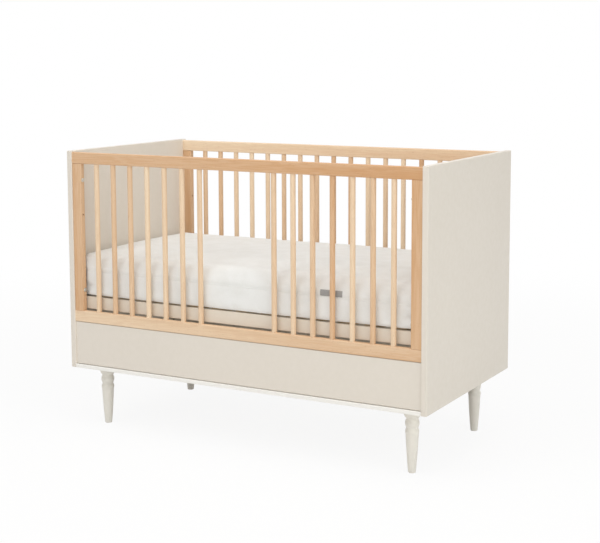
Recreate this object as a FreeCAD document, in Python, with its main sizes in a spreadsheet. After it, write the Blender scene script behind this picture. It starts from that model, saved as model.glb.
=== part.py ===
"""Baby crib for a 60 x 120 cm mattress.

Two painted end panels carry everything.  A beech gate of two rails, two stiles and round bars is
bolted between them at the front and at the back, and a painted apron closes each side below its
gate.  Leg boards run along the underside and take four turned legs.  A slatted base hangs between
the end panels at the middle one of three bolt heights, with the mattress on it.  The front gate is
open in the middle, where its three removable bars are taken out.

Units are millimetres.  The origin is on the floor at the centre of the crib, X runs along the crib,
Y to the back and Z up.
"""
import FreeCAD, Part
import os

import Sketcher
from FreeCAD import Placement, Rotation, Vector

DIMENSIONS = (
    # mattress and its space
    ("mattress_length", 1200),
    ("mattress_width", 600),
    ("mattress_thick", 130),
    ("mattress_edge", 25),       # rounding of its edges
    ("end_play", 2),             # between the mattress and each end panel
    ("side_play", 1.5),          # between the mattress and each gate
    ("rest_gap", 0.3),           # between the mattress and the slats under it
    # painted end panels
    ("panel_thick", 18),
    ("panel_height", 696),
    ("panel_round", 2),
    # beech gates
    ("gate_thick", 18),
    ("gate_setback", 3),         # gate's face behind the end panel's edge
    ("gate_drop", 4),            # gate's top below the end panel's top
    ("rail_height", 36),
    ("rail_round", 3),
    ("stile_width", 33),
    ("stile_round", 1.5),
    ("stile_tenon_width", 21),
    ("stile_tenon_thick", 8),
    ("bar_radius", 8),
    ("bar_count", 17),
    ("open_first", 8),           # first bar position that is left open at the front
    ("open_count", 3),
    ("peg_radius", 5),           # turned end of a bar
    ("tenon_length", 12),        # pegs of the bars, tenons of the stiles and end rails
    ("tenon_play", 0.1),
    ("tenon_spare", 1),          # depth of a mortise beyond its tenon
    # painted aprons below the gates
    ("apron_height", 136),
    ("apron_thick", 16),         # its inner face is flush with the gate's
    ("apron_gap", 1),            # shadow gap under the gate
    ("apron_lift", 1.5),         # shadow gap over the leg board
    ("board_round", 1.5),
    # leg boards and turned legs
    ("leg_board_thick", 12),
    ("leg_board_depth", 115),
    ("leg_height", 193),
    ("leg_inset_side", 80),
    ("leg_inset_front", 83),
    ("leg_disc_radius", 25.2),
    ("leg_disc_height", 13),
    ("leg_ovolo_sag", 1.8),
    ("leg_neck_radius", 18.2),
    ("leg_neck_drop", 35),       # drops are measured down from the top of the leg
    ("leg_bead_radius", 20.8),
    ("leg_waist_radius", 17.6),
    ("leg_waist_drop", 61),
    ("leg_groove_half", 3),      # half the height of the neck's and the waist's hollow
    ("leg_groove_sag", 0.5),
    ("leg_shoulder_radius", 19),
    ("leg_shoulder_drop", 79),
    ("leg_shoulder_sag", 1.6),
    ("leg_swell", 0.7),          # how far the taper bellies out
    ("leg_foot_radius", 11.2),
    ("leg_foot_round", 2),
    # slatted base
    ("base_show", 4.5),          # base's underside above the gate's bottom rail
    ("base_step", 150),          # from one base height to the next
    ("base_end_gap", 0.5),
    ("base_side_gap", 3.5),
    ("base_rail_height", 39),
    ("base_rail_thick", 18),
    ("base_end_thick", 22),
    ("base_ledge_width", 15),
    ("base_ledge_height", 30),
    ("base_tenon_thick", 10),
    ("base_tenon_height", 18),
    ("base_slat_thick", 14),
    ("base_slat_width", 45),
    ("base_slat_count", 13),
    ("base_slat_play", 0.5),
    # bolts, insert nuts and dowels
    ("bolt_radius", 3),
    ("bolt_play", 0.15),
    ("bolt_tip_gap", 1),         # bolt's tip short of the insert nut's end
    ("bolt_head_radius", 6.5),
    ("bolt_head_thick", 2.6),
    ("bolt_head_bevel", 0.6),
    ("socket_across", 4),
    ("socket_depth", 1.8),
    ("insert_radius", 5),
    ("insert_length", 12),
    ("gate_bolt_low", 103),      # lower gate bolt above the gate's lower edge
    ("gate_bolt_high", 88),      # upper gate bolt below the gate's upper edge
    ("spare_hole_drop", 198),    # spare hole below the gate's upper edge
    ("spare_hole_radius", 3.5),
    ("base_bolt_inset", 35),     # base bolt from the end rail's shoulder
    ("base_bolt_rise", 15),
    ("dowel_radius", 3),
    ("dowel_length", 28),
    ("dowel_in_panel", 10),
    ("dowel_spare", 0.5),
    ("dowel_inset", 25),
    ("leg_bolt_radius", 4),
    ("leg_bolt_depth", 32),
    ("leg_bolt_proud", 2),
    ("nut_flange_radius", 9),
    ("nut_flange_thick", 1.5),
    ("nut_across", 13),
    ("nut_height", 6.5),
)

# Sizes and places that follow from the dimensions, as sheet expressions.
INNER_LENGTH = "(dims.mattress_length + 2 * dims.end_play)"
INNER_WIDTH = "(dims.mattress_width + 2 * dims.side_play)"
HALF_INNER = f"({INNER_LENGTH} / 2)"
HALF_DEPTH = f"({INNER_WIDTH} / 2 + dims.gate_thick + dims.gate_setback)"
GATE_Y = f"({INNER_WIDTH} / 2 + dims.gate_thick / 2)"
LEG_BOARD_TOP = "(dims.leg_height + dims.leg_board_thick)"
APRON_LOW = f"({LEG_BOARD_TOP} + dims.apron_lift)"
APRON_Y = f"({INNER_WIDTH} / 2 + dims.apron_thick / 2)"
GATE_LOW = f"({APRON_LOW} + dims.apron_height + dims.apron_gap)"
GATE_TOP = "(dims.leg_height + dims.panel_height - dims.gate_drop)"
BAR_LENGTH = f"({GATE_TOP} - {GATE_LOW} - 2 * dims.rail_height)"
BAR_PITCH = f"(({INNER_LENGTH} - 2 * dims.stile_width + 2 * dims.bar_radius) / (dims.bar_count + 1))"
BAR_SPAN = f"({BAR_PITCH} * (dims.bar_count - 1))"
STILE_X = f"({HALF_INNER} - dims.stile_width / 2)"
LOW_BOLT_Z = f"({GATE_LOW} + dims.gate_bolt_low)"
HIGH_BOLT_Z = f"({GATE_TOP} - dims.gate_bolt_high)"
MORTISE_DEPTH = "(dims.tenon_length + dims.tenon_spare)"
LEG_X = f"({HALF_INNER} + dims.panel_thick - dims.leg_inset_side)"
LEG_Y = f"({HALF_DEPTH} - dims.leg_inset_front)"
BASE_LOW = f"({GATE_LOW} + dims.rail_height + dims.base_show)"
BASE_HALF_LENGTH = f"({HALF_INNER} - dims.base_end_gap)"
BASE_HALF_WIDTH = f"({INNER_WIDTH} / 2 - dims.base_side_gap)"
LEDGE_Y = f"({BASE_HALF_WIDTH} - dims.base_rail_thick - dims.base_ledge_width)"
BASE_END_X = f"({BASE_HALF_LENGTH} - dims.base_end_thick / 2)"
BASE_BAY = f"(2 * ({BASE_HALF_LENGTH} - dims.base_end_thick))"
BASE_BOLT_Y = f"({LEDGE_Y} - dims.base_bolt_inset)"
BASE_BOLT_Z = f"({BASE_LOW} + dims.base_bolt_rise)"
BASE_TOP = f"({BASE_LOW} + dims.base_ledge_height + dims.base_slat_thick)"
APRON_DOWELS_Z = (f"({APRON_LOW} + dims.dowel_inset)",
                  f"({APRON_LOW} + dims.apron_height - dims.dowel_inset)")
LEG_BOARD_DOWELS_Y = (f"({HALF_DEPTH} - dims.leg_board_depth + dims.dowel_inset)",
                      f"({HALF_DEPTH} - dims.dowel_inset)")
LEG_BOARD_MIDDLE_Z = "(dims.leg_height + dims.leg_board_thick / 2)"
BOLT_HOLE_RADIUS = "(dims.bolt_radius + dims.bolt_play)"
DOWEL_HOLE_RADIUS = "(dims.dowel_radius + dims.tenon_play)"
LEG_BOLT_HOLE_RADIUS = "(dims.leg_bolt_radius + dims.tenon_play)"

ALONG_X = Vector(1, 0, 0)
ALONG_Z = Vector(0, 0, 1)
HALF_TURN = 180
START, END, CENTRE = 1, 2, 3     # points of a sketch edge
SKETCH_ORIGIN = (-1, 1)

doc = FreeCAD.newDocument("crib")
sheet = doc.addObject("Spreadsheet::Sheet", "dims")
for row, (alias, number) in enumerate(DIMENSIONS, start=1):
    sheet.set(f"A{row}", alias)
    sheet.set(f"B{row}", str(number))
    sheet.setAlias(f"B{row}", alias)
doc.recompute()

nodes = []


# ---------------------------------------------------------------- sketches

def size(expression):
    """The number that a sheet expression stands for."""
    result = sheet.evalExpression(expression)
    return float(getattr(result, "Value", result))


def origin_part(body, role):
    """One of the body's own origin planes or axes."""
    part = next(item for item in body.Origin.OriginFeatures if item.Role == role)
    return (part, [""])


def new_sketch(body, role, right="0", up="0", out="0"):
    """Sketch on an origin plane, shifted right and up in that plane and out along its normal."""
    sketch = body.newObject("Sketcher::SketchObject", f"{body.Name}_sketch")
    sketch.AttachmentSupport = origin_part(body, role)
    sketch.MapMode = "FlatFace"
    for axis, expression in zip("xyz", (right, up, out)):
        sketch.setExpression(f"AttachmentOffset.Base.{axis}", expression)
    return sketch


def pin(sketch, edge, point, place):
    """Tie a point of a sketch edge to a pair of sheet expressions."""
    for kind, expression in zip(("DistanceX", "DistanceY"), place):
        limit = Sketcher.Constraint(kind, *SKETCH_ORIGIN, edge, point, size(expression))
        bind(sketch, limit, expression)


def bind(sketch, limit, expression):
    index = sketch.addConstraint(limit)
    sketch.setExpression(f"Constraints[{index}]", expression)


def outline(sketch, corners, sags=None):
    """Closed outline through the corners.

    A side listed in sags is an arc that stands off its chord by that much, to the right of the
    way from its first corner to its second.
    """
    sags = sags or {}
    places = [Vector(size(across), size(up), 0) for across, up in corners]
    first = sketch.GeometryCount
    count = len(corners)
    for side, start in enumerate(places):
        end = places[(side + 1) % count]
        if side in sags:
            sketch.addGeometry(bowed_side(start, end, size(sags[side])), False)
        else:
            sketch.addGeometry(Part.LineSegment(start, end), False)
    for side in range(count):
        following = (side + 1) % count
        meeting = [end_at(sketch, first + edge, places[following]) for edge in (side, following)]
        sketch.addConstraint(Sketcher.Constraint("Coincident", first + side, meeting[0],
                                                 first + following, meeting[1]))
    for side, corner in enumerate(corners):
        pin(sketch, first + side, end_at(sketch, first + side, places[side]), corner)
    for side, sag in sags.items():
        run = [f"({b} - ({a}))" for a, b in zip(corners[side], corners[(side + 1) % count])]
        radius = f"abs(({run[0]} ^ 2 + {run[1]} ^ 2) / (8 * {sag}) + {sag} / 2)"
        bind(sketch, Sketcher.Constraint("Radius", first + side, size(radius)), radius)


def bowed_side(start, end, sag):
    """Arc from start to end that stands off its chord by the sag."""
    chord = end - start
    right = Vector(chord.y, -chord.x, 0).normalize()
    return Part.Arc(start, (start + end) / 2 + right * sag, end)


def end_at(sketch, edge, place):
    """Which end of a sketch edge lies at the place: an arc may be stored the other way round."""
    gaps = [(sketch.getPoint(edge, end) - place).Length for end in (START, END)]
    return START if gaps[0] < gaps[1] else END


def rectangle(sketch, left, right, low, high):
    outline(sketch, [(left, low), (right, low), (right, high), (left, high)])


def circle(sketch, radius, across, up):
    centre = Vector(size(across), size(up), 0)
    index = sketch.addGeometry(Part.Circle(centre, ALONG_Z, size(radius)), False)
    pin(sketch, index, CENTRE, (across, up))
    bind(sketch, Sketcher.Constraint("Radius", index, size(radius)), radius)


def hexagon(sketch, across_flats, across, up):
    corner = f"{across_flats} / 2 / cos(30 deg)"
    turns = range(0, 360, 60)
    outline(sketch, [(f"{across} + {corner} * cos({turn} deg)", f"{up} + {corner} * sin({turn} deg)")
                     for turn in turns])


# ---------------------------------------------------------------- features

def new_body(name):
    body = doc.addObject("PartDesign::Body", name)
    nodes.append(body)
    return body


def place(body, across="0", back="0", up="0", turn_about=None):
    """Put a body in the crib, turned half round about an axis of its own if one is given."""
    if turn_about:
        body.Placement = Placement(Vector(), Rotation(turn_about, HALF_TURN))
    for axis, expression in zip("xyz", (across, back, up)):
        body.setExpression(f"Placement.Base.{axis}", expression)


def pad(body, sketch, length):
    feature = body.newObject("PartDesign::Pad", f"{body.Name}_pad")
    feature.Profile = sketch
    feature.setExpression("Length", length)
    doc.recompute()
    return feature


def pocket(body, sketch, depth, along_normal=False):
    """Cut to a depth, against the sketch's normal unless told otherwise."""
    whole = body.Tip.Shape.Volume
    feature = body.newObject("PartDesign::Pocket", f"{body.Name}_pocket")
    feature.Profile = sketch
    feature.Reversed = along_normal
    feature.setExpression("Length", depth)
    doc.recompute()
    if not feature.Shape.Volume < whole:
        raise ValueError(f"{feature.Name} cuts nothing")
    return feature


def revolve(body, sketch, axis):
    feature = body.newObject("PartDesign::Revolution", f"{body.Name}_turned")
    feature.Profile = sketch
    feature.ReferenceAxis = (sketch, [axis])
    feature.Angle = 360
    doc.recompute()
    return feature


def round_edges(body, radius, along=None, keep=None):
    """Round the edges that run along an axis and pass the keep test, or every edge."""
    base = body.Tip
    feature = body.newObject("PartDesign::Fillet", f"{body.Name}_round")
    names = [f"Edge{number}" for number, edge in enumerate(base.Shape.Edges, start=1)
             if along is None or runs_along(edge, along) and (keep is None or keep(edge.CenterOfMass))]
    feature.Base = (base, names)
    feature.setExpression("Radius", radius)
    doc.recompute()
    return feature


def runs_along(edge, axis):
    run = edge.Vertexes[-1].Point - edge.Vertexes[0].Point
    return run.Length > 0 and abs(run.normalize().dot(axis)) > 0.999


def row_of(body, axis, span, count):
    """Linear pattern's settings: count copies spread over the span."""
    pattern = body.newObject("PartDesign::LinearPattern", f"{body.Name}_row")
    pattern.Direction = origin_part(body, axis)
    pattern.setExpression("Length", span)
    pattern.setExpression("Occurrences", count)
    return pattern


def mirror_in(body, plane):
    mirror = body.newObject("PartDesign::Mirrored", f"{body.Name}_mirror")
    mirror.MirrorPlane = origin_part(body, plane)
    return mirror


def repeat(body, originals, step):
    """Apply one row or mirror to features of the body."""
    step.Originals = originals
    body.Tip = step
    doc.recompute()


def repeat_all_round(body, originals, *rows):
    """Repeat features along the rows, front to back and left to right."""
    feature = body.newObject("PartDesign::MultiTransform", f"{body.Name}_repeat")
    feature.Originals = originals
    feature.Transformations = [*rows, mirror_in(body, "XZ_Plane"), mirror_in(body, "YZ_Plane")]
    body.Tip = feature
    doc.recompute()


def plank(name, length, thick, high, rounding):
    """Straight board along X, centred in length and thickness, standing on z = 0."""
    body = new_body(name)
    section = new_sketch(body, "YZ_Plane", out=f"-{length} / 2")
    rectangle(section, f"-{thick} / 2", f"{thick} / 2", "0", high)
    pad(body, section, length)
    round_edges(body, rounding, ALONG_X)
    return body


# ---------------------------------------------------------------- end panels

def end_panel(name, side, turn_about):
    """Painted slab, its outer face at x = 0; insert nuts and dowels go into its inner face."""
    body = new_body(name)
    face = new_sketch(body, "YZ_Plane")
    rectangle(face, f"-{HALF_DEPTH}", HALF_DEPTH, "0", "dims.panel_height")
    pad(body, face, "dims.panel_thick")
    round_edges(body, "dims.panel_round")

    nuts = new_sketch(body, "YZ_Plane", up="-dims.leg_height", out="dims.panel_thick")
    nut_radius = "(dims.insert_radius + dims.tenon_play)"
    for sign in "-", "":
        for height in LOW_BOLT_Z, HIGH_BOLT_Z:
            circle(nuts, nut_radius, sign + GATE_Y, height)
        for steps in -1, 0, 1:
            circle(nuts, nut_radius, sign + BASE_BOLT_Y, f"{BASE_BOLT_Z} + {steps} * dims.base_step")
    pocket(body, nuts, "dims.insert_length")

    dowels = new_sketch(body, "YZ_Plane", up="-dims.leg_height", out="dims.panel_thick")
    for sign in "-", "":
        for height in APRON_DOWELS_Z:
            circle(dowels, DOWEL_HOLE_RADIUS, sign + APRON_Y, height)
        for depth in LEG_BOARD_DOWELS_Y:
            circle(dowels, DOWEL_HOLE_RADIUS, sign + depth, LEG_BOARD_MIDDLE_Z)
    pocket(body, dowels, "dims.dowel_in_panel + dims.dowel_spare")
    place(body, f"{side}({HALF_INNER} + dims.panel_thick)", "0", "dims.leg_height", turn_about)


end_panel("left_end_panel", "-", None)
end_panel("right_end_panel", "", ALONG_Z)


# ---------------------------------------------------------------- gates

def gate_rail(name, side, up, turn_about):
    """Beech rail with a row of peg holes and a mortise for each stile in its upper face."""
    body = plank(name, INNER_LENGTH, "dims.gate_thick", "dims.rail_height", "dims.rail_round")
    mortises = new_sketch(body, "XY_Plane", out="dims.rail_height")
    half_width = "(dims.stile_tenon_width / 2 + dims.tenon_play)"
    half_thick = "(dims.stile_tenon_thick / 2 + dims.tenon_play)"
    for middle in "-" + STILE_X, STILE_X:
        rectangle(mortises, f"{middle} - {half_width}", f"{middle} + {half_width}",
                  f"-{half_thick}", half_thick)
    pocket(body, mortises, MORTISE_DEPTH)
    hole = new_sketch(body, "XY_Plane", out="dims.rail_height")
    circle(hole, "dims.peg_radius + dims.tenon_play", f"-{BAR_SPAN} / 2", "0")
    first = pocket(body, hole, MORTISE_DEPTH)
    repeat(body, [first], row_of(body, "X_Axis", BAR_SPAN, "dims.bar_count"))
    place(body, "0", side + GATE_Y, up, turn_about)


def stile(name, across, side):
    """Upright of a gate, with a stub tenon at each end and bolt holes across it."""
    body = new_body(name)
    section = new_sketch(body, "XY_Plane")
    rectangle(section, "-dims.stile_width / 2", "dims.stile_width / 2",
              "-dims.gate_thick / 2", "dims.gate_thick / 2")
    pad(body, section, BAR_LENGTH)
    round_edges(body, "dims.stile_round", ALONG_Z)
    tenon = new_sketch(body, "XY_Plane", out="-dims.tenon_length")
    rectangle(tenon, "-dims.stile_tenon_width / 2", "dims.stile_tenon_width / 2",
              "-dims.stile_tenon_thick / 2", "dims.stile_tenon_thick / 2")
    pad(body, tenon, f"{BAR_LENGTH} + 2 * dims.tenon_length")
    foot = f"({GATE_LOW} + dims.rail_height)"
    holes = new_sketch(body, "YZ_Plane", up=f"-{foot}", out="dims.stile_width / 2")
    circle(holes, BOLT_HOLE_RADIUS, "0", LOW_BOLT_Z)
    circle(holes, BOLT_HOLE_RADIUS, "0", HIGH_BOLT_Z)
    circle(holes, "dims.spare_hole_radius", "0", f"{GATE_TOP} - dims.spare_hole_drop")
    pocket(body, holes, "dims.stile_width")
    place(body, across, side + GATE_Y, foot)


def gate_bar(name, position, side):
    """Round bar with a peg at each end, at its position in the row."""
    body = new_body(name)
    half = new_sketch(body, "XZ_Plane")
    outline(half, [("0", "-dims.tenon_length"), ("dims.peg_radius", "-dims.tenon_length"),
                   ("dims.peg_radius", "0"), ("dims.bar_radius", "0"),
                   ("dims.bar_radius", BAR_LENGTH), ("dims.peg_radius", BAR_LENGTH),
                   ("dims.peg_radius", f"{BAR_LENGTH} + dims.tenon_length"),
                   ("0", f"{BAR_LENGTH} + dims.tenon_length")])
    revolve(body, half, "V_Axis")
    place(body, f"{position - 1} * {BAR_PITCH} - {BAR_SPAN} / 2", side + GATE_Y,
          f"{GATE_LOW} + dims.rail_height")


bar_positions = range(1, int(size("dims.bar_count")) + 1)
open_first = int(size("dims.open_first"))
open_positions = range(open_first, open_first + int(size("dims.open_count")))

for gate, side in ("front", "-"), ("back", ""):
    gate_rail(f"{gate}_top_rail", side, GATE_TOP, ALONG_X)
    gate_rail(f"{gate}_bottom_rail", side, GATE_LOW, None)
    stile(f"{gate}_left_stile", "-" + STILE_X, side)
    stile(f"{gate}_right_stile", STILE_X, side)
    for position in bar_positions:
        if gate == "back" or position not in open_positions:
            gate_bar(f"{gate}_bar_{position:02d}", position, side)


# ---------------------------------------------------------------- aprons and leg boards

def drill_ends(body, places):
    """Dowel holes in both ends of a plank, at places given across and up its section."""
    holes = new_sketch(body, "YZ_Plane", out=HALF_INNER)
    for across, up in places:
        circle(holes, DOWEL_HOLE_RADIUS, across, up)
    depth = "dims.dowel_length - dims.dowel_in_panel + dims.dowel_spare"
    repeat(body, [pocket(body, holes, depth)], mirror_in(body, "YZ_Plane"))


def apron(name, side):
    body = plank(name, INNER_LENGTH, "dims.apron_thick", "dims.apron_height", "dims.board_round")
    drill_ends(body, [("0", "dims.dowel_inset"), ("0", "dims.apron_height - dims.dowel_inset")])
    place(body, "0", side + APRON_Y, APRON_LOW)


def leg_board(name, side, turn_about):
    """Board that lies flat under the apron, drilled for the leg bolts."""
    body = plank(name, INNER_LENGTH, "dims.leg_board_depth", "dims.leg_board_thick", "dims.board_round")
    middle = "dims.leg_board_thick / 2"
    reach = "(dims.leg_board_depth / 2 - dims.dowel_inset)"
    drill_ends(body, [("-" + reach, middle), (reach, middle)])
    holes = new_sketch(body, "XY_Plane", out="dims.leg_board_thick")
    for across in "-" + LEG_X, LEG_X:
        circle(holes, LEG_BOLT_HOLE_RADIUS, across, "dims.leg_inset_front - dims.leg_board_depth / 2")
    pocket(body, holes, "dims.leg_board_thick")
    place(body, "0", f"{side}({HALF_DEPTH} - dims.leg_board_depth / 2)", "dims.leg_height", turn_about)


for wall, side, turn_about in ("front", "-", None), ("back", "", ALONG_Z):
    apron(f"{wall}_apron", side)
    leg_board(f"{wall}_leg_board", side, turn_about)


# ---------------------------------------------------------------- legs

def leg(name, across, back):
    """Turned leg: disc, neck, bead, waist, shoulder and a long taper down to the foot."""
    body = new_body(name)
    half = new_sketch(body, "XZ_Plane")
    hole_floor = "dims.leg_height - dims.leg_bolt_depth"
    neck = "dims.leg_height - dims.leg_neck_drop"
    waist = "dims.leg_height - dims.leg_waist_drop"
    neck_lip = "dims.leg_neck_radius + dims.leg_groove_sag"
    waist_lip = "dims.leg_waist_radius + dims.leg_groove_sag"
    bead_sag = "(dims.leg_bead_radius - (dims.leg_neck_radius + dims.leg_waist_radius) / 2" \
               " - dims.leg_groove_sag)"
    corners = [
        ("0", "0"),
        ("dims.leg_foot_radius - dims.leg_foot_round", "0"),
        ("dims.leg_foot_radius", "dims.leg_foot_round"),
        ("dims.leg_shoulder_radius", "dims.leg_height - dims.leg_shoulder_drop"),
        (waist_lip, f"{waist} - dims.leg_groove_half"),
        (waist_lip, f"{waist} + dims.leg_groove_half"),
        (neck_lip, f"{neck} - dims.leg_groove_half"),
        (neck_lip, f"{neck} + dims.leg_groove_half"),
        ("dims.leg_disc_radius", "dims.leg_height - dims.leg_disc_height"),
        ("dims.leg_disc_radius", "dims.leg_height"),
        (LEG_BOLT_HOLE_RADIUS, "dims.leg_height"),
        (LEG_BOLT_HOLE_RADIUS, hole_floor),
        ("0", hole_floor),
    ]
    sags = {
        1: "(dims.leg_foot_round * (1 - cos(45 deg)))",
        2: "dims.leg_swell",
        3: "dims.leg_shoulder_sag",
        4: "-dims.leg_groove_sag",
        5: bead_sag,
        6: "-dims.leg_groove_sag",
        7: "dims.leg_ovolo_sag",
    }
    outline(half, corners, sags)
    revolve(body, half, "V_Axis")
    place(body, across, back)


for wall, back in ("front", "-" + LEG_Y), ("back", LEG_Y):
    leg(f"{wall}_left_leg", "-" + LEG_X, back)
    leg(f"{wall}_right_leg", LEG_X, back)


# ---------------------------------------------------------------- slatted base

def base_rail(name, turn_about):
    """Side rail of the base: its inner half is a ledge for the slats."""
    body = new_body(name)
    section = new_sketch(body, "YZ_Plane", out=f"-{BASE_HALF_LENGTH}")
    outer = f"-{BASE_HALF_WIDTH}"
    step = f"{outer} + dims.base_rail_thick"
    outline(section, [(outer, "0"), (f"-{LEDGE_Y}", "0"), (f"-{LEDGE_Y}", "dims.base_ledge_height"),
                      (step, "dims.base_ledge_height"), (step, "dims.base_rail_height"),
                      (outer, "dims.base_rail_height")])
    pad(body, section, f"2 * {BASE_HALF_LENGTH}")
    outer_face = -size(BASE_HALF_WIDTH)
    round_edges(body, "dims.board_round", ALONG_X, lambda middle: abs(middle.y - outer_face) < 1e-6)
    mortises = new_sketch(body, "XZ_Plane", out=LEDGE_Y)
    half_thick = "(dims.base_tenon_thick / 2 + dims.tenon_play)"
    half_high = "(dims.base_tenon_height / 2 + dims.tenon_play)"
    height = "dims.base_ledge_height / 2"
    for middle in "-" + BASE_END_X, BASE_END_X:
        rectangle(mortises, f"{middle} - {half_thick}", f"{middle} + {half_thick}",
                  f"{height} - {half_high}", f"{height} + {half_high}")
    pocket(body, mortises, MORTISE_DEPTH, along_normal=True)
    place(body, up=BASE_LOW, turn_about=turn_about)


def base_end_rails():
    """Pair of cross rails, tenoned into the side rails and drilled for the base bolts."""
    body = new_body("base_end_rails")
    plan = new_sketch(body, "XY_Plane")
    half = "dims.base_end_thick / 2"
    rectangle(plan, f"-{BASE_END_X} - {half}", f"-{BASE_END_X} + {half}", "-" + LEDGE_Y, LEDGE_Y)
    beam = pad(body, plan, "dims.base_rail_height")
    tenon = new_sketch(body, "XY_Plane", out="(dims.base_ledge_height - dims.base_tenon_height) / 2")
    half = "dims.base_tenon_thick / 2"
    reach = f"({LEDGE_Y} + dims.tenon_length)"
    rectangle(tenon, f"-{BASE_END_X} - {half}", f"-{BASE_END_X} + {half}", "-" + reach, reach)
    tenons = pad(body, tenon, "dims.base_tenon_height")
    holes = new_sketch(body, "YZ_Plane", out=f"-{BASE_BAY} / 2")
    for across in "-" + BASE_BOLT_Y, BASE_BOLT_Y:
        circle(holes, BOLT_HOLE_RADIUS, across, "dims.base_bolt_rise")
    drilled = pocket(body, holes, "dims.base_end_thick")
    repeat(body, [beam, tenons, drilled], mirror_in(body, "YZ_Plane"))
    place(body, up=BASE_LOW)


def base_slats():
    """Row of slats across the base, evenly spaced between the end rails."""
    body = new_body("base_slats")
    gap = f"(({BASE_BAY} - dims.base_slat_count * dims.base_slat_width) / (dims.base_slat_count + 1))"
    reach = f"({BASE_HALF_WIDTH} - dims.base_rail_thick - dims.base_slat_play)"
    start = f"(-{BASE_BAY} / 2 + {gap})"
    plan = new_sketch(body, "XY_Plane", out="dims.base_ledge_height")
    rectangle(plan, start, f"{start} + dims.base_slat_width", "-" + reach, reach)
    first = pad(body, plan, "dims.base_slat_thick")
    span = f"({gap} + dims.base_slat_width) * (dims.base_slat_count - 1)"
    repeat(body, [first], row_of(body, "X_Axis", span, "dims.base_slat_count"))
    place(body, up=BASE_LOW)


base_rail("base_front_rail", None)
base_rail("base_back_rail", ALONG_Z)
base_end_rails()
base_slats()


# ---------------------------------------------------------------- bolts, insert nuts and dowels

def socket_bolt(body, tip, seat, back, up):
    """Flat-headed bolt along X from its tip to its seat, with a hexagon socket in the head."""
    half = new_sketch(body, "XZ_Plane", up=up, out=back)
    face = f"({seat} + dims.bolt_head_thick)"
    outline(half, [(tip, "0"), (seat, "0"), (face, "0"),
                   (face, "dims.bolt_head_radius - dims.bolt_head_bevel"),
                   (f"{face} - dims.bolt_head_bevel", "dims.bolt_head_radius"),
                   (seat, "dims.bolt_head_radius"), (seat, "dims.bolt_radius"),
                   (tip, "dims.bolt_radius")])
    turned = revolve(body, half, "H_Axis")
    socket = new_sketch(body, "YZ_Plane", right="-" + back, up=up, out=face)
    hexagon(socket, "dims.socket_across", "0", "0")
    return [turned, pocket(body, socket, "dims.socket_depth")]


def gate_bolts():
    """Bolts through the stiles into the end panels."""
    body = new_body("gate_bolts")
    tip = f"-({HALF_INNER} + dims.insert_length - dims.bolt_tip_gap)"
    seat = f"-({HALF_INNER} - dims.stile_width)"
    bolt = socket_bolt(body, tip, seat, GATE_Y, LOW_BOLT_Z)
    repeat_all_round(body, bolt, row_of(body, "Z_Axis", f"{HIGH_BOLT_Z} - {LOW_BOLT_Z}", "2"))


def base_bolts():
    """Bolts of the base, drawn back in the end rails until their tips clear the end panels."""
    body = new_body("base_bolts")
    tip = f"-{BASE_HALF_LENGTH}"
    seat = f"({tip} + dims.base_end_thick + dims.insert_length - dims.bolt_tip_gap)"
    repeat_all_round(body, socket_bolt(body, tip, seat, BASE_BOLT_Y, BASE_BOLT_Z))


def panel_inserts():
    """Insert nuts in the end panels: two for each stile and three for each base bolt."""
    body = new_body("panel_inserts")
    rows = ((GATE_Y, LOW_BOLT_Z, f"{HIGH_BOLT_Z} - {LOW_BOLT_Z}", "2"),
            (BASE_BOLT_Y, f"{BASE_BOLT_Z} - dims.base_step", "2 * dims.base_step", "3"))
    for back, lowest, span, count in rows:
        wall = new_sketch(body, "XZ_Plane", up=lowest, out=back)
        rectangle(wall, f"-{HALF_INNER} - dims.insert_length", f"-{HALF_INNER}",
                  BOLT_HOLE_RADIUS, "dims.insert_radius")
        nut = revolve(body, wall, "H_Axis")
        repeat_all_round(body, [nut], row_of(body, "Z_Axis", span, count))


def board_dowels():
    """Dowels that carry the aprons and the leg boards in the end panels."""
    body = new_body("board_dowels")
    start = f"-{HALF_INNER} - dims.dowel_in_panel"
    low, high = APRON_DOWELS_Z
    end = new_sketch(body, "YZ_Plane", right="-" + APRON_Y, up=low, out=start)
    circle(end, "dims.dowel_radius", "0", "0")
    dowel = pad(body, end, "dims.dowel_length")
    repeat_all_round(body, [dowel], row_of(body, "Z_Axis", f"{high} - {low}", "2"))
    inner, outer = LEG_BOARD_DOWELS_Y
    end = new_sketch(body, "YZ_Plane", right="-" + outer, up=LEG_BOARD_MIDDLE_Z, out=start)
    circle(end, "dims.dowel_radius", "0", "0")
    dowel = pad(body, end, "dims.dowel_length")
    repeat_all_round(body, [dowel], row_of(body, "Y_Axis", f"{outer} - {inner}", "2"))


def leg_bolts():
    """Hanger bolts, from the legs up through the leg boards."""
    body = new_body("leg_bolts")
    half = new_sketch(body, "XZ_Plane", right="-" + LEG_X, out=LEG_Y)
    rectangle(half, "0", "dims.leg_bolt_radius",
              "dims.leg_height - dims.leg_bolt_depth + dims.bolt_tip_gap",
              f"{LEG_BOARD_TOP} + dims.nut_flange_thick + dims.nut_height + dims.leg_bolt_proud")
    repeat_all_round(body, [revolve(body, half, "V_Axis")])


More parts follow.
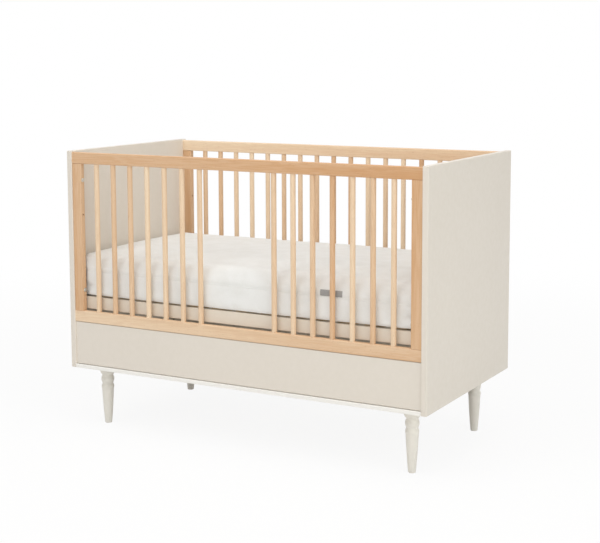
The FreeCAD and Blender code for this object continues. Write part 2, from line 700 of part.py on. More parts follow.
def leg_nuts():
    """Flange nuts that draw the legs up to the leg boards."""
    body = new_body("leg_nuts")
    flange = new_sketch(body, "XY_Plane", out=LEG_BOARD_TOP)
    circle(flange, "dims.nut_flange_radius", "-" + LEG_X, "-" + LEG_Y)
    circle(flange, LEG_BOLT_HOLE_RADIUS, "-" + LEG_X, "-" + LEG_Y)
    disc = pad(body, flange, "dims.nut_flange_thick")
    flats = new_sketch(body, "XY_Plane", out=f"{LEG_BOARD_TOP} + dims.nut_flange_thick")
    hexagon(flats, "dims.nut_across", "-" + LEG_X, "-" + LEG_Y)
    circle(flats, LEG_BOLT_HOLE_RADIUS, "-" + LEG_X, "-" + LEG_Y)
    repeat_all_round(body, [disc, pad(body, flats, "dims.nut_height")])


gate_bolts()
base_bolts()
panel_inserts()
board_dowels()
leg_bolts()
leg_nuts()


# ---------------------------------------------------------------- mattress

def mattress():
    body = new_body("mattress")
    plan = new_sketch(body, "XY_Plane")
    rectangle(plan, "-dims.mattress_length / 2", "dims.mattress_length / 2",
              "-dims.mattress_width / 2", "dims.mattress_width / 2")
    pad(body, plan, "dims.mattress_thick")
    round_edges(body, "dims.mattress_edge")
    place(body, up=f"{BASE_TOP} + dims.rest_gap")


mattress()


# ---------------------------------------------------------------- check and write

doc.recompute()
for item in doc.Objects:
    if "Invalid" in item.State or "Error" in item.State:
        raise RuntimeError(f"{item.Name} failed: {item.State}")

os.makedirs("parts", exist_ok=True)
for node in nodes:
    if node.Shape.isNull() or not node.Shape.isValid():
        raise RuntimeError(f"{node.Label} has no valid shape")
for node in nodes:
    node.Shape.exportStep(f"parts/{node.Label}.step")
    box = node.Shape.BoundBox
    extents = (box.XMin, box.XMax, box.YMin, box.YMax, box.ZMin, box.ZMax)
    print(node.Label, len(node.Shape.Solids), "solids", *(round(extent, 1) for extent in extents))
print(len(nodes), "nodes")
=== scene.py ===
"""Baby crib: finishes, the padded mattress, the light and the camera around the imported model."""
import math

import bmesh
import bpy
import numpy as np
from mathutils import Matrix, Vector, noise
from mathutils.bvhtree import BVHTree

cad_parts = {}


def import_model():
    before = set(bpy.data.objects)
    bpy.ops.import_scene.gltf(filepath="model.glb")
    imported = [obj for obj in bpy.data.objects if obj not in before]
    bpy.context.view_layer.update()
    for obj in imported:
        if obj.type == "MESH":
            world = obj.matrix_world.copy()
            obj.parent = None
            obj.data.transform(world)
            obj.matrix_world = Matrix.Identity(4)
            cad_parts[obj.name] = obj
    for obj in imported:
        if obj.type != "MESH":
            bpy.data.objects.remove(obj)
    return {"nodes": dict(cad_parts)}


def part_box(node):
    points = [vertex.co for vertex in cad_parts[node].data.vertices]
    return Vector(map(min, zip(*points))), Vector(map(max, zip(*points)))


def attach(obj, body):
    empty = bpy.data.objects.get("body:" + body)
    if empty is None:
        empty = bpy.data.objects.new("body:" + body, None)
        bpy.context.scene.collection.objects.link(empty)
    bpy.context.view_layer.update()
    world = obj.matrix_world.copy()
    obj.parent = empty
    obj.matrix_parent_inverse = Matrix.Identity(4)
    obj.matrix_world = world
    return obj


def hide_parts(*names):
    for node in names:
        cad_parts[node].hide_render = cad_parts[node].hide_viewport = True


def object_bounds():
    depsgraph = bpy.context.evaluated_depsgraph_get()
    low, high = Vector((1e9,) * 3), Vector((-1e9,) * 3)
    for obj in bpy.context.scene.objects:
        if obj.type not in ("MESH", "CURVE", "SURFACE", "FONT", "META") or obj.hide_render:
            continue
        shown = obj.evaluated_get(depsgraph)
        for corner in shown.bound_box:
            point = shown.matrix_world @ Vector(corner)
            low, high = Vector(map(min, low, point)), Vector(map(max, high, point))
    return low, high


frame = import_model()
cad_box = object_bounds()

MM = 0.001
X, Y, Z = 0, 1, 2

# ---------------------------------------------------------------- colours, as 8-bit sRGB

PAINT = (227, 219, 208)
PAINT_SHADE = (223, 215, 203)
# paler copy of the lacquer for the legs: painted light, standing in for the floor's bounce on them
TURNED_PAINT_AND_LIGHT = (236, 232, 223)
TURNED_PAINT_AND_LIGHT_MOTTLE = (232, 227, 217)
# paler copy of the lacquer for the leg boards: a painted highlight, for their edges catching light from
# above
BOARD_PAINT_AND_HIGHLIGHT = (245, 243, 238)
BOARD_PAINT_AND_HIGHLIGHT_MOTTLE = (240, 237, 231)
# warmer copy of the lacquer for the base rails: painted bounce light from the beech around them
BASE_PAINT_AND_BOUNCE = (226, 215, 199)
BASE_PAINT_AND_BOUNCE_MOTTLE = (222, 210, 194)
BEECH_PALE = (240, 217, 187)
BEECH_DEEP = (205, 157, 111)
BIRCH_PALE = (235, 214, 178)
BIRCH_DEEP = (214, 182, 138)
RAY_FLECK = (150, 98, 60)
ZINC = (216, 211, 200)
ZINC_DULL = (188, 184, 176)
COVER = (239, 239, 237)
COVER_SHADE = (231, 230, 226)
LABEL = (178, 176, 173)
LABEL_THREAD = (150, 149, 147)
FLOOR = (248, 248, 247)
FLOOR_SHADE = (244, 244, 243)
WHITE = (1, 1, 1, 1)                        # as linear RGBA

# ---------------------------------------------------------------- wood

# How deep in colour each stick of beech is, from 0, pale, to about 1: the wood's own tone, with painted
# light and shade where a stick was made paler or deeper for the light that falls on it. Rails and stiles
# have a tone for each end.
FRONT_BARS = {1: 0.32, 2: 0.52, 3: 0.50, 4: 0.12, 5: 0.30, 6: 0.22, 7: 0.26,
              11: 0.44, 12: 0.26, 13: 0.40, 14: 0.78, 15: 0.26, 16: 0.58, 17: 0.26}
BACK_BARS = (0.58, 0.56, 0.30, 0.08, 0.26, 0.46, 0.28, 0.52, 0.68, 0.70, 0.12, 0.28, 0.08,
             0.92, 0.40, 0.30, 0.46)
RAILS = {"front_top_rail": (0.58, 1.02), "front_bottom_rail": (0.22, 0.60),
         "back_top_rail": (0.06, 0.52), "back_bottom_rail": (0.40, 0.60)}
STILES = {"front_left_stile": (0.92, 0.68), "front_right_stile": (0.70, 0.84),
          "back_left_stile": (0.70, 0.70), "back_right_stile": (0.62, 0.62)}
DOWEL_TONE = 0.5

GRAIN_SHIFT = (1.37, 0.71, 2.19)            # from one stick's cut of the grain to the next one's
FIGURE_RUN, FIBRE_RUN, RAY_RUN = 0.045, 0.03, 0.16      # scale along the grain; across it is 1
GROWTH_LINES = 52.0                         # radians of the sine over the figure's whole range
BEECH_LAYERS = (0.55, 0.13, 0.16)           # depth of colour that drift, lines and fibres give
BEECH_FLECKS, BIRCH_FLECKS = 0.30, 0.18     # how strongly the ray flecks show
BIRCH_LINES = 0.25
DOWEL_SEED, SLAT_SEED = 3.0, 5.0

NOISE_RANGE = (0.3, 0.7)                    # where most of a noise's values lie


def linear(colour):
    """8-bit sRGB colour as the linear RGBA that shaders use."""
    parts = [part / 255 for part in colour]
    return (*(p / 12.92 if p <= 0.04045 else ((p + 0.055) / 1.055) ** 2.4 for p in parts), 1.0)


# ---------------------------------------------------------------- node trees

class Tree:
    """Nodes under construction. Most methods add nodes and return the socket to use next."""

    def __init__(self, owner):
        owner.use_nodes = True
        self.tree = owner.node_tree

    def add(self, kind, inputs=None, **settings):
        """One node, with its inputs linked or set."""
        node = self.tree.nodes.new(kind)
        for setting, value in settings.items():
            setattr(node, setting, value)
        self.fill(node, inputs or {})
        return node

    def fill(self, node, inputs):
        for key, value in inputs.items():
            if isinstance(value, bpy.types.NodeSocket):
                self.tree.links.new(value, node.inputs[key])
            else:
                node.inputs[key].default_value = value

    def math(self, operation, first, second=0.0):
        return self.add("ShaderNodeMath", {0: first, 1: second}, operation=operation).outputs[0]

    def seen(self):
        """1 for rays that look at the surface, directly or in a gloss or glass, and 0 for the others."""
        path = self.add("ShaderNodeLightPath").outputs
        mirrored = self.math("MAXIMUM", path["Is Glossy Ray"], path["Is Transmission Ray"])
        return self.math("MAXIMUM", path["Is Camera Ray"], mirrored)


class Material(Tree):
    """A material, laid out in the object's own coordinates."""

    def __init__(self, name):
        self.material = bpy.data.materials.new(name)
        super().__init__(self.material)
        self.shader = self.tree.nodes["Principled BSDF"]
        self.place = self.add("ShaderNodeTexCoord").outputs["Object"]

    def stretched(self, stretch, shift=(0, 0, 0)):
        """The object's own coordinates, scaled along each axis."""
        mapping = self.add("ShaderNodeMapping",
                           {"Vector": self.place, "Location": shift, "Scale": stretch})
        return mapping.outputs["Vector"]

    def noise(self, vector, size, detail=2.0):
        """Noise from 0 to 1 whose features are about the given size across."""
        field = self.add("ShaderNodeTexNoise", {"Vector": vector, "Scale": 1 / size, "Detail": detail})
        return field.outputs["Fac"]

    def ramp(self, value, low, high, to_low=0.0, to_high=1.0):
        """Smooth step of a value from one range to another."""
        step = self.add("ShaderNodeMapRange",
                        {"Value": value, "From Min": low, "From Max": high,
                         "To Min": to_low, "To Max": to_high},
                        interpolation_type="SMOOTHSTEP")
        return step.outputs["Result"]

    def vary(self, field, low, high):
        """A noise as a value that wanders between low and high."""
        return self.ramp(field, *NOISE_RANGE, low, high)

    def blend(self, share, first, second):
        """Mix of two colours."""
        mix = self.add("ShaderNodeMix", {"Factor": share, 6: first, 7: second}, data_type="RGBA")
        return mix.outputs[2]

    def bump(self, height, depth, under=None):
        """Relief of the given depth, on top of another relief."""
        inputs = {"Height": height, "Distance": depth, "Strength": 1.0}
        if under:
            inputs["Normal"] = under
        return self.add("ShaderNodeBump", inputs).outputs["Normal"]

    def shade(self, **inputs):
        """Fill in the shader and return the material."""
        self.fill(self.shader, {key.replace("_", " "): value for key, value in inputs.items()})
        return self.material


# ---------------------------------------------------------------- materials

def drawn_out(along, scale):
    """Scales that draw a pattern out along one axis."""
    return [scale if axis == along else 1.0 for axis in (X, Y, Z)]


def grain(wood, along, seed):
    """Broad drift, growth lines, fibres and ray flecks of a board, its grain along one axis."""
    shift = [seed * step for step in GRAIN_SHIFT]
    figure_place = wood.stretched(drawn_out(along, FIGURE_RUN), shift)
    drift = wood.noise(figure_place, 30 * MM, 1.0)
    figure = wood.noise(figure_place, 15 * MM, 2.0)
    lines = wood.math("SINE", wood.math("MULTIPLY", figure, GROWTH_LINES))
    fibres = wood.noise(wood.stretched(drawn_out(along, FIBRE_RUN), shift), 0.9 * MM, 2.0)
    rays = wood.noise(wood.stretched(drawn_out(along, RAY_RUN), shift), 1.3 * MM, 1.0)
    return drift, wood.ramp(lines, -1.0, 1.0), fibres, wood.ramp(rays, 0.66, 0.76)


def beech(name, along, tones, seed):
    """Oiled beech, whose colour deepens from one end's tone to the other's, partly as painted light and
    shade.
    """
    wood = Material(name)
    drift, lines, fibres, flecks = grain(wood, along, seed)
    place = wood.add("ShaderNodeSeparateXYZ", {"Vector": wood.place}).outputs[along]
    low_tone, high_tone = (tone - sum(BEECH_LAYERS) / 2 for tone in tones)
    depth = wood.ramp(place, cad_box[0][along], cad_box[1][along], low_tone, high_tone)
    for layer, share in zip((drift, lines, fibres), BEECH_LAYERS):
        depth = wood.math("ADD", depth, wood.math("MULTIPLY", layer, share))
    colour = wood.blend(depth, linear(BEECH_PALE), linear(BEECH_DEEP))
    colour = wood.blend(wood.math("MULTIPLY", flecks, BEECH_FLECKS), colour, linear(RAY_FLECK))
    pores = wood.math("SUBTRACT", fibres, wood.math("MULTIPLY", flecks, 0.5))
    return wood.shade(Base_Color=colour, Normal=wood.bump(pores, 0.12 * MM),
                      Roughness=wood.vary(fibres, 0.46, 0.60))


def birch(name, along):
    """Bare sanded slat wood."""
    wood = Material(name)
    drift, lines, fibres, flecks = grain(wood, along, SLAT_SEED)
    depth = wood.math("ADD", drift, wood.math("MULTIPLY", lines, BIRCH_LINES))
    colour = wood.blend(depth, linear(BIRCH_PALE), linear(BIRCH_DEEP))
    colour = wood.blend(wood.math("MULTIPLY", flecks, BIRCH_FLECKS), colour, linear(RAY_FLECK))
    return wood.shade(Base_Color=colour, Normal=wood.bump(fibres, 0.2 * MM),
                      Roughness=wood.vary(fibres, 0.62, 0.78))


def paint(name, colour, shade):
    """Satin lacquer, sprayed, with a faint orange peel."""
    lacquer = Material(name)
    cloud = lacquer.noise(lacquer.place, 420 * MM, 1.0)
    mottle = lacquer.noise(lacquer.place, 16 * MM, 3.0)
    share = lacquer.math("MULTIPLY", lacquer.math("ADD", cloud, mottle), 0.5)
    tint = lacquer.blend(lacquer.ramp(share, 0.2, 0.8), linear(colour), linear(shade))
    peel = lacquer.bump(lacquer.noise(lacquer.place, 1.6 * MM, 2.0), 0.008 * MM)
    ripple = lacquer.bump(lacquer.noise(lacquer.place, 14 * MM, 1.0), 0.03 * MM, peel)
    return lacquer.shade(Base_Color=tint, Normal=ripple, Specular_IOR_Level=0.42,
                         Roughness=lacquer.vary(mottle, 0.36, 0.46))


def zinc(name):
    """Bright zinc plate with turning marks and a little dulling."""
    plate = Material(name)
    dull = plate.noise(plate.place, 2.5 * MM, 3.0)
    marks = plate.noise(plate.stretched((1.0, 6.0, 6.0)), 1.2 * MM, 1.0)
    tint = plate.blend(plate.ramp(dull, 0.35, 0.75, 0.0, 0.5), linear(ZINC), linear(ZINC_DULL))
    return plate.shade(Base_Color=tint, Metallic=1.0, Normal=plate.bump(marks, 0.02 * MM),
                       Roughness=plate.vary(dull, 0.22, 0.40))


def cloth(name, colour, shade, stitch, depth):
    """Knitted or woven cloth: stitches of one size all over, soft mottling and sheen."""
    fabric = Material(name)
    knit = fabric.add("ShaderNodeTexVoronoi", {"Vector": fabric.place, "Scale": 1 / stitch})
    yarn = fabric.ramp(knit.outputs["Distance"], 0.1, 0.8)
    mottle = fabric.vary(fabric.noise(fabric.place, 45 * MM, 3.0), 0.0, 0.5)
    share = fabric.math("ADD", fabric.math("MULTIPLY", yarn, 0.5), mottle)
    fuzz = fabric.bump(fabric.noise(fabric.place, 0.5 * MM, 2.0), depth * 0.4)
    return fabric.shade(Base_Color=fabric.blend(share, linear(colour), linear(shade)),
                        Normal=fabric.bump(yarn, -depth, fuzz), Sheen_Weight=0.15,
                        Sheen_Roughness=0.5, Specular_IOR_Level=0.2,
                        Roughness=fabric.ramp(yarn, 0.0, 1.0, 0.82, 0.95))


# ---------------------------------------------------------------- finishes of the CAD nodes

def coat(material, *nodes):
    """Give CAD nodes one finish all over."""
    for node in nodes:
        for slot in frame["nodes"][node].material_slots:
            slot.material = material


coat(paint("ecru_lacquer", PAINT, PAINT_SHADE),
     "left_end_panel", "right_end_panel", "front_apron", "back_apron")
# the base rails' lacquer is warmed with painted bounce light from the beech
coat(paint("ecru_lacquer_on_base", BASE_PAINT_AND_BOUNCE, BASE_PAINT_AND_BOUNCE_MOTTLE),
     "base_front_rail", "base_back_rail", "base_end_rails")
# the leg boards' lacquer is paler: a painted highlight on their edges
coat(paint("ecru_lacquer_on_boards", BOARD_PAINT_AND_HIGHLIGHT, BOARD_PAINT_AND_HIGHLIGHT_MOTTLE),
     "front_leg_board", "back_leg_board")
# the legs' lacquer is paler: painted light standing in for the floor's bounce
coat(paint("ecru_lacquer_on_beech", TURNED_PAINT_AND_LIGHT, TURNED_PAINT_AND_LIGHT_MOTTLE),
     "front_left_leg", "front_right_leg", "back_left_leg", "back_right_leg")
coat(zinc("zinc_plated_steel"), "gate_bolts", "base_bolts", "panel_inserts", "leg_bolts", "leg_nuts")
coat(birch("birch_slats", Y), "base_slats")
coat(beech("dowel_beech", X, (DOWEL_TONE, DOWEL_TONE), DOWEL_SEED), "board_dowels")

sticks = [(f"front_bar_{position:02d}", Z, (tone, tone)) for position, tone in FRONT_BARS.items()]
sticks += [(f"back_bar_{position:02d}", Z, (tone, tone))
           for position, tone in enumerate(BACK_BARS, start=1)]
sticks += [(name, Z, tones) for name, tones in STILES.items()]
sticks += [(name, X, tones) for name, tones in RAILS.items()]
for seed, (name, along, tones) in enumerate(sticks):
    coat(beech(f"beech_{name}", along, tones, seed), name)


# ---------------------------------------------------------------- sizes of the mattress

MATTRESS_LOW, MATTRESS_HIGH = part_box("mattress")

# The block that the cloth starts from.
START_INSET = 7 * MM                        # it is this much smaller in plan
TOP_EDGE, FOOT_EDGE = 18 * MM, 4 * MM       # radii of its edges
CORNER = 13 * MM                            # and of its upright corners
CORNER_REACH, CORNER_FILL = 42 * MM, 0.85   # near these it gets back most of the inset
VOXEL = 9 * MM

# How it swells.
PRESSURE = 4.0
PAD_RIM, PAD_CORE = 60 * MM, 0.08           # the padding swells a rim this wide, and the core less
SLACK = 0.01                                # share by which the cloth outgrows the block
SWELL_FRAMES = 20
SWELL_CAP = 11 * MM                         # no point moves further
EASED_FROM_END, EASED_FROM_FOOT = 25 * MM, 45 * MM      # smoothing starts this far in
EASED_OVER, EASED_ROUNDS = 40 * MM, 24                  # and is full after this length

# How it fits its space.
BREATHING_SPACE = 1.2 * MM                  # cloth inside the foam's plan
PRESSED = 1.6 * MM                          # and how far past that its waves may stand
CROWN = 12 * MM                             # the swollen top over the foam block's
DOME = 6 * MM                               # and its middle line over its long edges
FOOT_SPREAD, SPREAD_HEIGHT = 9 * MM, 16 * MM            # the foot is pressed out under the swell,
SPREAD_FROM_CORNER = 1.6 * CORNER_REACH                 # but hardly at the corners
SAG, SAG_RIM, SAG_HEIGHT = 3.4 * MM, 17 * MM, 9 * MM    # it hangs a little past the slats there
SAG_WAVES = 9                               # per metre

# Its seam, creases and tag.
SEAM_LEFT = MATTRESS_LOW.z + 79.7 * MM      # height of the zip seam at the left end
SEAM_RIGHT = MATTRESS_LOW.z + 66.7 * MM     # and at the right end
SEAM_GROOVE, SEAM_WIDTH = 1.6 * MM, 4.5 * MM            # depth, and half the width
SEAM_CORD, SEAM_LIFT = 1.1 * MM, 0.2 * MM   # radius of its cord, and the cord's line over the cover
SEAM_STEP = 12 * MM                         # between the cord's points on the long sides
CORNER_STEPS = 8                            # and so many round each corner
CREASES = ((7, 1.0 * MM), (17, 0.4 * MM))   # waves per metre, and their height
PUCKER_WAVES = Vector((34, 34, 9))          # per metre along each axis
PUCKER_HEIGHT, PUCKER_REACH = 0.8 * MM, 35 * MM         # at the seam, and how far they reach from it
LABEL_LEFT, LABEL_WIDTH = 274 * MM, 71 * MM             # to the right of the mattress's middle
LABEL_FOOT = MATTRESS_LOW.z + 72.2 * MM
LABEL_HEIGHT, LABEL_THICK, LABEL_LIFT = 17.5 * MM, 0.7 * MM, 0.9 * MM
LABEL_COLUMNS, LABEL_ROWS = 28, 8


# ---------------------------------------------------------------- mesh tools

def mesh_object(name, mesh):
    piece = bpy.data.objects.new(name, mesh)
    bpy.context.scene.collection.objects.link(piece)
    return piece


def mesh_from(build, name):
    """Turn a finished bmesh into a mesh."""
    mesh = bpy.data.meshes.new(name)
    build.to_mesh(mesh)
    build.free()
    return mesh


def evaluated_mesh(piece):
    """The piece's mesh with its modifiers applied."""
    shown = piece.evaluated_get(bpy.context.evaluated_depsgraph_get())
    return bpy.data.meshes.new_from_object(shown)


def apply_modifier(piece, kind, **settings):
    """Add a modifier to a piece and apply it."""
    modifier = piece.modifiers.new(kind, kind)
    for setting, value in settings.items():
        setattr(modifier, setting, value)
    piece.data = evaluated_mesh(piece)
    piece.modifiers.clear()


def points_of(mesh):
    """A mesh's vertices as rows of an array."""
    points = np.empty(len(mesh.vertices) * 3)
    mesh.vertices.foreach_get("co", points)
    return points.reshape(-1, 3)


def normals_of(mesh):
    return np.array([vertex.normal for vertex in mesh.vertices])


def move_points(mesh, points):
    mesh.vertices.foreach_set("co", points.ravel())
    mesh.update()


def fading(distance, reach):
    """1 at no distance, fading out in a bell curve about as wide as the reach."""
    return np.exp(-(distance / reach) ** 2)


def weigh(piece, name, weights):
    """Vertex group that gives each point its weight."""
    group = piece.vertex_groups.new(name=name)
    for index in np.flatnonzero(weights):
        group.add([int(index)], float(weights[index]), "REPLACE")
    return group.name


def soften(build, chosen, radius, segments):
    """Round the edges whose two ends pass the test."""
    edges = [edge for edge in build.edges if chosen(edge.verts[0].co, edge.verts[1].co)]
    bmesh.ops.bevel(build, geom=edges, offset=radius, segments=segments, profile=0.5,
                    affect="EDGES")


# ---------------------------------------------------------------- the mattress's cover

def starting_block():
    """Block with rounded corners in plan, a soft top edge and a firm foot, for the cloth."""
    inset = Vector((START_INSET, START_INSET, 0))
    low, high = MATTRESS_LOW + inset, MATTRESS_HIGH - inset
    size = high - low
    build = bmesh.new()
    bmesh.ops.create_cube(build, size=1.0, matrix=Matrix.Translation((low + high) / 2)
                          @ Matrix.Diagonal((*size, 1.0)))
    soften(build, lambda a, b: abs(a.z - b.z) > size.z / 2, CORNER, segments=6)
    soften(build, lambda a, b: min(a.z, b.z) > high.z - MM, TOP_EDGE, segments=4)
    soften(build, lambda a, b: max(a.z, b.z) < low.z + MM, FOOT_EDGE, segments=2)
    return mesh_from(build, "mattress_block")


def fill_corners(mesh):
    """Undo the start's inset near the upright corners, where the cloth hardly swells."""
    points = points_of(mesh)
    from_edge = np.maximum(points[:, :2].max(0) - np.abs(points[:, :2]), 0)
    near = fading(from_edge, CORNER_REACH)
    held = np.clip(1 - from_edge / PAD_RIM, 0, 1)
    points[:, :2] += np.sign(points[:, :2]) * START_INSET * CORNER_FILL * held * near[:, ::-1]
    move_points(mesh, points)


def swell(piece):
    """Blow the block up as cloth on its flat foot. No point moves inwards, or further than the cap."""
    start = points_of(piece.data)
    outward = normals_of(piece.data)
    foot = start[:, Z] < start[:, Z].min() + FOOT_EDGE / 2
    from_edge = (np.array(MATTRESS_HIGH)[:2] - np.abs(start[:, :2])).min(1)
    padding = PAD_CORE + (1 - PAD_CORE) * fading(from_edge, PAD_RIM)
    modifier = piece.modifiers.new("cloth", "CLOTH")
    modifier.settings.vertex_group_mass = weigh(piece, "foot", foot)
    modifier.settings.vertex_group_pressure = weigh(piece, "padding", padding)
    modifier.settings.shrink_min = -SLACK
    modifier.settings.use_pressure = True
    modifier.settings.uniform_pressure_force = PRESSURE
    modifier.settings.effector_weights.gravity = 0
    modifier.point_cache.frame_end = SWELL_FRAMES
    for step in range(1, SWELL_FRAMES + 1):
        bpy.context.scene.frame_set(step)
    moved = points_of(evaluated_mesh(piece)) - start
    piece.modifiers.clear()
    piece.vertex_groups.clear()
    moved -= np.minimum(0, (moved * outward).sum(1, keepdims=True)) * outward
    far = np.linalg.norm(moved, axis=1, keepdims=True)
    move_points(piece.data, start + moved * (SWELL_CAP / np.maximum(far, SWELL_CAP)))
    bpy.context.scene.frame_set(1)


def ease(piece):
    """Smooth the upper part of the cover, and leave its ends and its foot as they are."""
    points = points_of(piece.data)
    from_end = MATTRESS_HIGH.x - np.abs(points[:, X])
    from_foot = points[:, Z] - MATTRESS_LOW.z
    share = np.clip((from_end - EASED_FROM_END) / EASED_OVER, 0, 1)
    share *= np.clip((from_foot - EASED_FROM_FOOT) / EASED_OVER, 0, 1)
    apply_modifier(piece, "SMOOTH", factor=0.5, iterations=EASED_ROUNDS,
                   vertex_group=weigh(piece, "eased", share))
    piece.vertex_groups.clear()


def seam_height(x):
    """Height of the zip seam, which sinks a little from the left end to the right."""
    share = (x - MATTRESS_LOW.x) / (MATTRESS_HIGH.x - MATTRESS_LOW.x)
    return SEAM_LEFT + (SEAM_RIGHT - SEAM_LEFT) * share


def fit(points):
    """Fit the swollen shape to its space: its plan, its crown, the spread and sag of its foot."""
    low, high = points.min(0), points.max(0)
    goal_low = np.array(MATTRESS_LOW) + (BREATHING_SPACE, BREATHING_SPACE, 0)
    goal_high = np.array(MATTRESS_HIGH) + (-BREATHING_SPACE, -BREATHING_SPACE, CROWN)
    points = goal_low + (points - low) / (high - low) * (goal_high - goal_low)
    from_foot = points[:, Z] - goal_low[Z]
    from_corner = (goal_high[:2] - np.abs(points[:, :2])).max(1)
    spread = FOOT_SPREAD * fading(from_foot, SPREAD_HEIGHT)
    spread *= 1 - fading(from_corner, SPREAD_FROM_CORNER)
    points[:, :2] *= 1 + spread[:, None] / goal_high[:2]
    risen = from_foot / (goal_high[Z] - goal_low[Z])
    points[:, Z] += DOME * risen * (1 - (points[:, Y] / goal_high[Y]) ** 2)
    from_edge = (goal_high[:2] - np.abs(points[:, :2])).min(1)
    hang = np.clip(1 - from_edge / SAG_RIM, 0, 1) * fading(points[:, Z] - goal_low[Z], SAG_HEIGHT)
    waves = np.array([noise.noise(Vector((x * SAG_WAVES, y * SAG_WAVES, 0.5))) for x, y, _ in points])
    points[:, Z] -= SAG * hang * (1 + waves)
    return points


def crease(point, normal, from_seam):
    """How far the cloth stands out at a point: broad waves, and puckers along the seam."""
    broad = sum(noise.noise(point * waves) * height for waves, height in CREASES)
    pucker = noise.noise(point * PUCKER_WAVES) * PUCKER_HEIGHT * fading(from_seam, PUCKER_REACH)
    return broad + pucker * (1 - abs(normal[Z]))


def dress(mesh):
    """Fit the swollen shape to its space, then pull in the seam and crease the cloth."""
    points = fit(points_of(mesh))
    move_points(mesh, points)
    normals = normals_of(mesh)
    from_seam = points[:, Z] - seam_height(points[:, X])
    groove = SEAM_GROOVE * fading(from_seam, SEAM_WIDTH) * (1 - np.abs(normals[:, Z]))
    creases = np.array([crease(Vector(p), n, d) for p, n, d in zip(points, normals, from_seam)])
    creases *= 1 - np.clip(-normals[:, Z], 0, 1)
    points += normals * (creases - groove)[:, None]
    limit = np.array(MATTRESS_HIGH)[:2] - BREATHING_SPACE + PRESSED
    points[:, :2] = np.clip(points[:, :2], -limit, limit)
    move_points(mesh, points)


def cover():
    """The whole cover: the block, swollen as cloth, smoothed, fitted and creased."""
    piece = mesh_object("mattress_cover", starting_block())
    apply_modifier(piece, "REMESH", mode="VOXEL", voxel_size=VOXEL)
    fill_corners(piece.data)
    swell(piece)
    apply_modifier(piece, "SUBSURF", levels=1)
    ease(piece)
    dress(piece.data)
    for face in piece.data.polygons:
        face.use_smooth = True
    piece.data.materials.append(cloth("mattress_cover", COVER, COVER_SHADE, 1.5 * MM, 0.10 * MM))
    return piece


mattress = cover()
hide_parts("mattress")
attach(mattress, "mattress")


# ---------------------------------------------------------------- the mattress's seam and tag

surface = BVHTree.FromObject(mattress, bpy.context.evaluated_depsgraph_get())
OUTSIDE, RAY = 0.2, 0.5                     # where a line towards the cover starts, and its length


def on_surface(point, inward, lift):
    """Where a line from outside meets the cover, lifted off it."""
    place, normal, _, _ = surface.ray_cast(point - inward * OUTSIDE, inward, RAY)
    return place + normal * lift


def plan_path():
    """The mattress's outline in plan: its four corner arcs, as points with their outward directions."""
    half = (MATTRESS_HIGH - MATTRESS_LOW) / 2
    path = []
    for sign_x, sign_y, start in (1, -1, -90), (1, 1, 0), (-1, 1, 90), (-1, -1, 180):
        centre = Vector((sign_x * (half.x - CORNER), sign_y * (half.y - CORNER), 0))
        for step in range(CORNER_STEPS + 1):
            angle = math.radians(start + step * 90 / CORNER_STEPS)
            outward = Vector((math.cos(angle), math.sin(angle), 0))
            path.append((centre + outward * CORNER, outward))
    return path


def seam_points():
    """Points on the cover all round it, at the seam's height."""
    corners = plan_path()
    points = []
    for (here, out_here), (there, out_there) in zip(corners, corners[1:] + corners[:1]):
        steps = max(1, round((there - here).length / SEAM_STEP))
        for step in range(steps):
            share = step / steps
            place = here.lerp(there, share)
            place.z = seam_height(place.x)
            points.append(on_surface(place, -out_here.lerp(out_there, share).normalized(), SEAM_LIFT))
    return points


def tube(name, points, radius, sides=8):
    """Closed ring of cord through the points."""
    build = bmesh.new()
    turns = [2 * math.pi * side / sides for side in range(sides)]
    rings = []
    for index, point in enumerate(points):
        run = (points[(index + 1) % len(points)] - points[index - 1]).normalized()
        across = run.cross(Vector((0, 0, 1))).normalized()
        up = across.cross(run)
        rings.append([build.verts.new(point + (across * math.cos(turn) + up * math.sin(turn)) * radius)
                      for turn in turns])
    for ring, following in zip(rings, rings[1:] + rings[:1]):
        for side in range(sides):
            after = (side + 1) % sides
            build.faces.new((ring[side], ring[after], following[after], following[side])).smooth = True
    return mesh_object(name, mesh_from(build, name))


def label():
    """Bare woven tag, sewn flat to the front of the mattress."""
    build = bmesh.new()
    grid = []
    for row in range(LABEL_ROWS + 1):
        line = []
        for column in range(LABEL_COLUMNS + 1):
            place = Vector((LABEL_LEFT + LABEL_WIDTH * column / LABEL_COLUMNS, MATTRESS_LOW.y,
                            LABEL_FOOT + LABEL_HEIGHT * row / LABEL_ROWS))
            line.append(build.verts.new(on_surface(place, Vector((0, 1, 0)), LABEL_LIFT)))
        grid.append(line)
    for below, above in zip(grid, grid[1:]):
        for column in range(LABEL_COLUMNS):
            build.faces.new((below[column], below[column + 1],
                             above[column + 1], above[column])).smooth = True
    piece = mesh_object("mattress_label", mesh_from(build, "mattress_label"))
    apply_modifier(piece, "SOLIDIFY", thickness=LABEL_THICK, offset=0.0)
    return piece


seam = tube("mattress_seam", seam_points(), SEAM_CORD)
seam.data.materials.append(cloth("seam_cloth", COVER, COVER_SHADE, 0.8 * MM, 0.05 * MM))
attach(seam, "mattress")

tag = label()
tag.data.materials.append(cloth("label_weave", LABEL, LABEL_THREAD, 0.7 * MM, 0.08 * MM))
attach(tag, "mattress")


# ---------------------------------------------------------------- floor, light and camera

FLOOR_REACH = 30.0                          # from its middle to each side
FLOOR_GAP = 0.3 * MM                        # between the floor and the feet
SHADOW_FADE = (0.9, 3.5)                    # metres from the middle, over which the shadow fades out
SHADOW_WHITE = 0.90                         # how much white covers it before that
CRIB_MIDDLE = (0.0, 0.0, 0.5)               # what the lamps are aimed at
COOL, WARM = (0.97, 1.0, 0.98), (1.0, 0.975, 0.95)


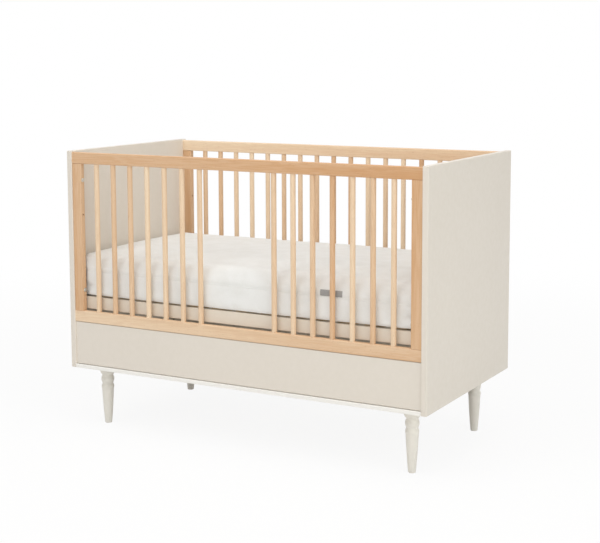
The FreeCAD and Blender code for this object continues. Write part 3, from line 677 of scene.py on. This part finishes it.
def floor_material():
    """Plain pale floor that the camera sees as a nearly white sweep with a faint shadow."""
    sweep = Material("floor")
    cloud = sweep.noise(sweep.place, 900 * MM, 2.0)
    sweep.shade(Base_Color=sweep.blend(cloud, linear(FLOOR), linear(FLOOR_SHADE)),
                Roughness=0.9, Specular_IOR_Level=0.0)
    away = sweep.add("ShaderNodeVectorMath", {0: sweep.place}, operation="LENGTH")
    white = sweep.ramp(away.outputs["Value"], *SHADOW_FADE, SHADOW_WHITE, 1.0)
    glow = sweep.add("ShaderNodeEmission", {"Color": WHITE, "Strength": 1.0})
    mix = sweep.add("ShaderNodeMixShader", {"Fac": sweep.math("MULTIPLY", sweep.seen(), white),
                                            1: sweep.shader.outputs[0], 2: glow.outputs[0]})
    sweep.fill(sweep.tree.nodes["Material Output"], {"Surface": mix.outputs[0]})
    return sweep.material


def floor():
    build = bmesh.new()
    bmesh.ops.create_grid(build, x_segments=8, y_segments=8, size=FLOOR_REACH)
    plane = mesh_object("floor", mesh_from(build, "floor"))
    plane.location.z = -FLOOR_GAP
    plane.data.materials.append(floor_material())


def world(strength):
    """Even studio light that the camera and the glosses see as white."""
    bpy.context.scene.world = bpy.data.worlds.new("studio")
    studio = Tree(bpy.context.scene.world)
    level = studio.add("ShaderNodeMapRange",
                       {"Value": studio.seen(), "To Min": strength, "To Max": 1.0})
    studio.fill(studio.tree.nodes["Background"], {"Color": WHITE, "Strength": level.outputs["Result"]})


def softbox(name, place, size, power, colour=(1, 1, 1)):
    """Rectangular lamp, aimed at the crib's middle."""
    data = bpy.data.lights.new(name, "AREA")
    data.shape = "RECTANGLE"
    data.size, data.size_y = size
    data.energy = power
    data.color = colour
    lamp = bpy.data.objects.new(name, data)
    lamp.location = place
    lamp.rotation_euler = (Vector(CRIB_MIDDLE) - Vector(place)).to_track_quat("-Z", "Y").to_euler()
    bpy.context.scene.collection.objects.link(lamp)


def camera(place, turn, pitch, roll, lens, shift):
    """Camera that looks along +Y when turn is 0, turned to the left and tipped down, in radians."""
    data = bpy.data.cameras.new("camera")
    data.sensor_width = 36.0
    data.lens = lens
    data.shift_y = shift
    body = bpy.data.objects.new("camera", data)
    body.location = place
    look = Matrix.Rotation(turn, 4, "Z") @ Matrix.Rotation(math.pi / 2 - pitch, 4, "X")
    body.rotation_euler = (look @ Matrix.Rotation(roll, 4, "Z")).to_euler()
    bpy.context.scene.collection.objects.link(body)
    bpy.context.scene.camera = body


floor()
world(strength=0.455)
softbox("key", place=(-1.8, -3.2, 4.0), size=(2.4, 2.4), power=44)
softbox("front", place=(1.5, -4.4, 2.2), size=(3.2, 2.0), power=21)
softbox("side", place=(4.3, -1.8, 2.1), size=(3.0, 2.6), power=57, colour=COOL)
softbox("over", place=(0.4, -0.6, 3.6), size=(3.0, 3.0), power=48, colour=WARM)
camera(place=(2.0345, -3.5809, 1.1971), turn=0.5076, pitch=0.1177, roll=-0.0031, lens=78.816,
       shift=-0.1075)
bpy.context.scene.view_settings.view_transform = "Standard"
